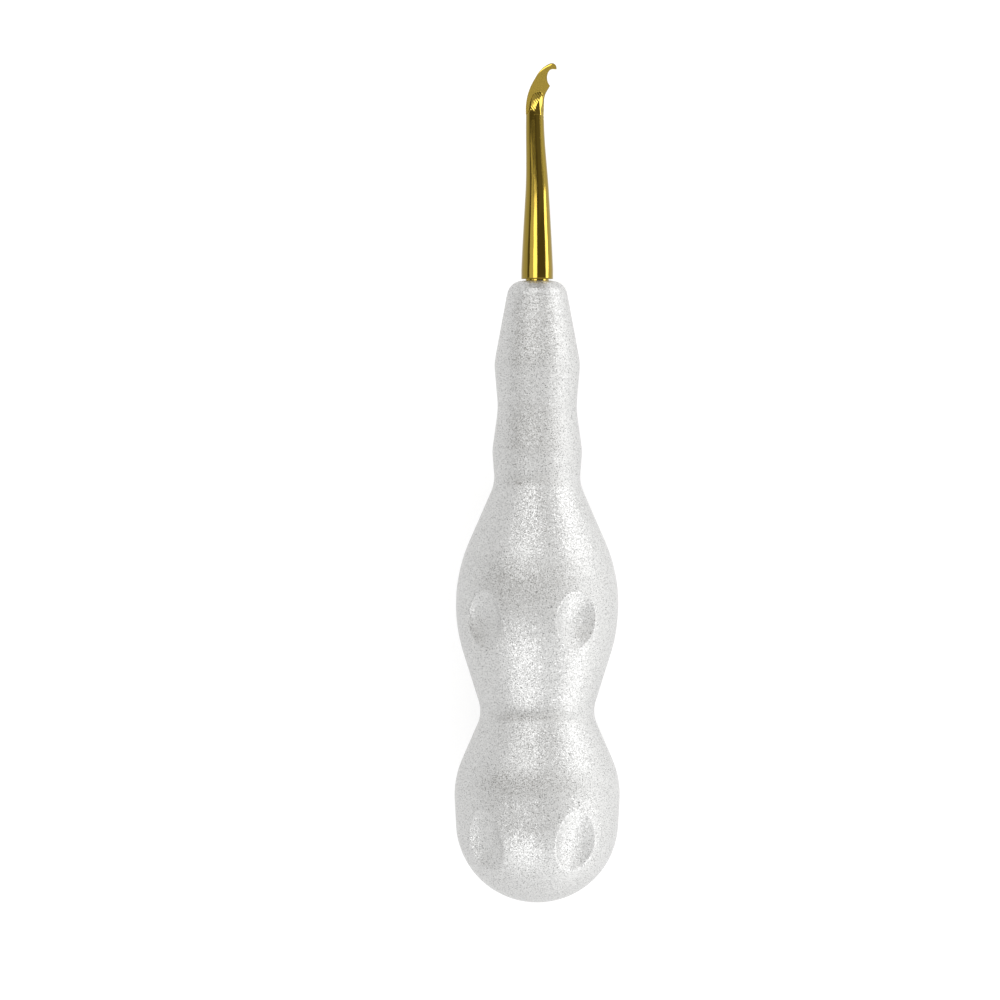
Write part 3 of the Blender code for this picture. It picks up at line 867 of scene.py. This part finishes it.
def add_surroundings(scene):
    """A white room with one dim band of ceiling across the instrument, and dim far beyond its tip.

    The bright metal mirrors the band along its level parts, and the far end in the edge of the ramp.
    """
    world = bpy.data.worlds.new("room")
    world.use_nodes = True
    tree = world.node_tree
    ground = tree.nodes["Background"]
    place = add_node(tree, "ShaderNodeTexCoord").outputs["Generated"]
    parts = add_node(tree, "ShaderNodeSeparateXYZ", links={0: place}).outputs
    away = add_math(tree, "ABSOLUTE", add_math(tree, "SUBTRACT", parts["Y"], BAND_MIDDLE))
    low = add_map(tree, parts["Z"], HORIZON, (1.0, 0.0))
    beyond = add_map(tree, away, (BAND_HALF, BAND_HALF + BAND_EDGE))
    near_end = add_map(tree, parts["Y"], FAR_END, (1.0, 0.0))
    pale = add_math(tree, "MINIMUM", add_math(tree, "MAXIMUM", low, beyond), near_end)
    tree.links.new(add_mix(tree, pale, linear(ROOM_DIM), linear(ROOM_PALE)), ground.inputs["Color"])
    scene.world = world


def add_lamp(lamp):
    """A soft box that covers these angles, in degrees from straight above the place it hangs over.

    The angles across run round the instrument's axis towards the right, and those along towards its tip.
    """
    (left, right), (near, far) = np.radians(lamp.across), np.radians(lamp.along)
    turn, tilt = (left + right) / 2, (near + far) / 2
    towards = Vector((math.sin(turn) * math.cos(tilt), math.sin(tilt), math.cos(turn) * math.cos(tilt)))
    light = bpy.data.lights.new(lamp.name, "AREA")
    light.shape = "RECTANGLE"
    light.size = 2 * lamp.distance * math.cos(tilt) * math.tan((right - left) / 2)
    light.size_y = 2 * lamp.distance * math.tan((far - near) / 2)
    light.energy = lamp.level * math.pi * light.size * light.size_y
    holder = bpy.data.objects.new(lamp.name, light)
    side = Vector((math.cos(turn), 0, -math.sin(turn)))
    axes = Matrix((side, towards.cross(side), towards)).transposed().to_4x4()
    holder.matrix_world = Matrix.Translation(Vector((0, lamp.place, 0)) + towards * lamp.distance) @ axes
    if lamp.only:
        lit = bpy.data.collections.new("lit_by_" + lamp.name)
        for piece in lamp.only:
            lit.objects.link(bpy.data.objects[piece])
        holder.light_linking.receiver_collection = lit
    holder.visible_camera = False
    bpy.context.scene.collection.objects.link(holder)


def add_camera(scene, studio, placement):
    """A camera square to the instrument's axis, its picture as wide as the frame width at the axis."""
    axis = laid(np.array([[0.0, 0, 0], [0, 1, 0], [0, 0, 1]]), placement)
    up = Vector(axis[1] - axis[0])
    front = Vector(axis[2] - axis[0])
    side = up.cross(front)
    back = front * math.cos(studio.camera_roll) + side * math.sin(studio.camera_roll)
    right = up.cross(back)
    target = Vector(laid(np.array([[0.0, studio.height_shift, 0]]), placement)[0]) - right * studio.axis_shift
    data = bpy.data.cameras.new("camera")
    data.lens = data.sensor_width * studio.camera_distance / studio.frame_width
    axes = Matrix((right, up, back)).transposed().to_4x4()
    camera = bpy.data.objects.new("camera", data)
    camera.matrix_world = Matrix.Translation(target + back * studio.camera_distance) @ axes
    scene.collection.objects.link(camera)
    scene.camera = camera


OPERATORS = (BuildHandle, BuildShank, BuildBlade, BuildStudio)
GROUPS = {"handle_sizes": HandleSizes, "blade_sizes": BladeSizes, "finishes": Finishes, "studio": Studio}


class PeriotomePanel(bpy.types.Panel):
    """The periotome's sizes and colours, and the buttons that build it"""

    bl_idname = "VIEW3D_PT_periotome"
    bl_label = "Periotome"
    bl_space_type = "VIEW_3D"
    bl_region_type = "UI"
    bl_category = "Periotome"

    def draw(self, context):
        for operator in OPERATORS:
            self.layout.operator(operator.bl_idname)
        for name, group in GROUPS.items():
            column = self.layout.column(heading=name)
            for field in group.__annotations__:
                column.prop(getattr(context.scene, name), field)


def register():
    for group in GROUPS.values():
        bpy.utils.register_class(group)
    for name, group in GROUPS.items():
        setattr(bpy.types.Scene, name, PointerProperty(type=group))
    for cls in (*OPERATORS, PeriotomePanel):
        bpy.utils.register_class(cls)


def unregister():
    for cls in (PeriotomePanel, *reversed(OPERATORS)):
        bpy.utils.unregister_class(cls)
    for name, group in GROUPS.items():
        delattr(bpy.types.Scene, name)
        bpy.utils.unregister_class(group)


def main():
    register()
    for operator in OPERATORS:
        module, name = operator.bl_idname.split(".")
        getattr(getattr(bpy.ops, module), name)()


if __name__ == "__main__":
    main()
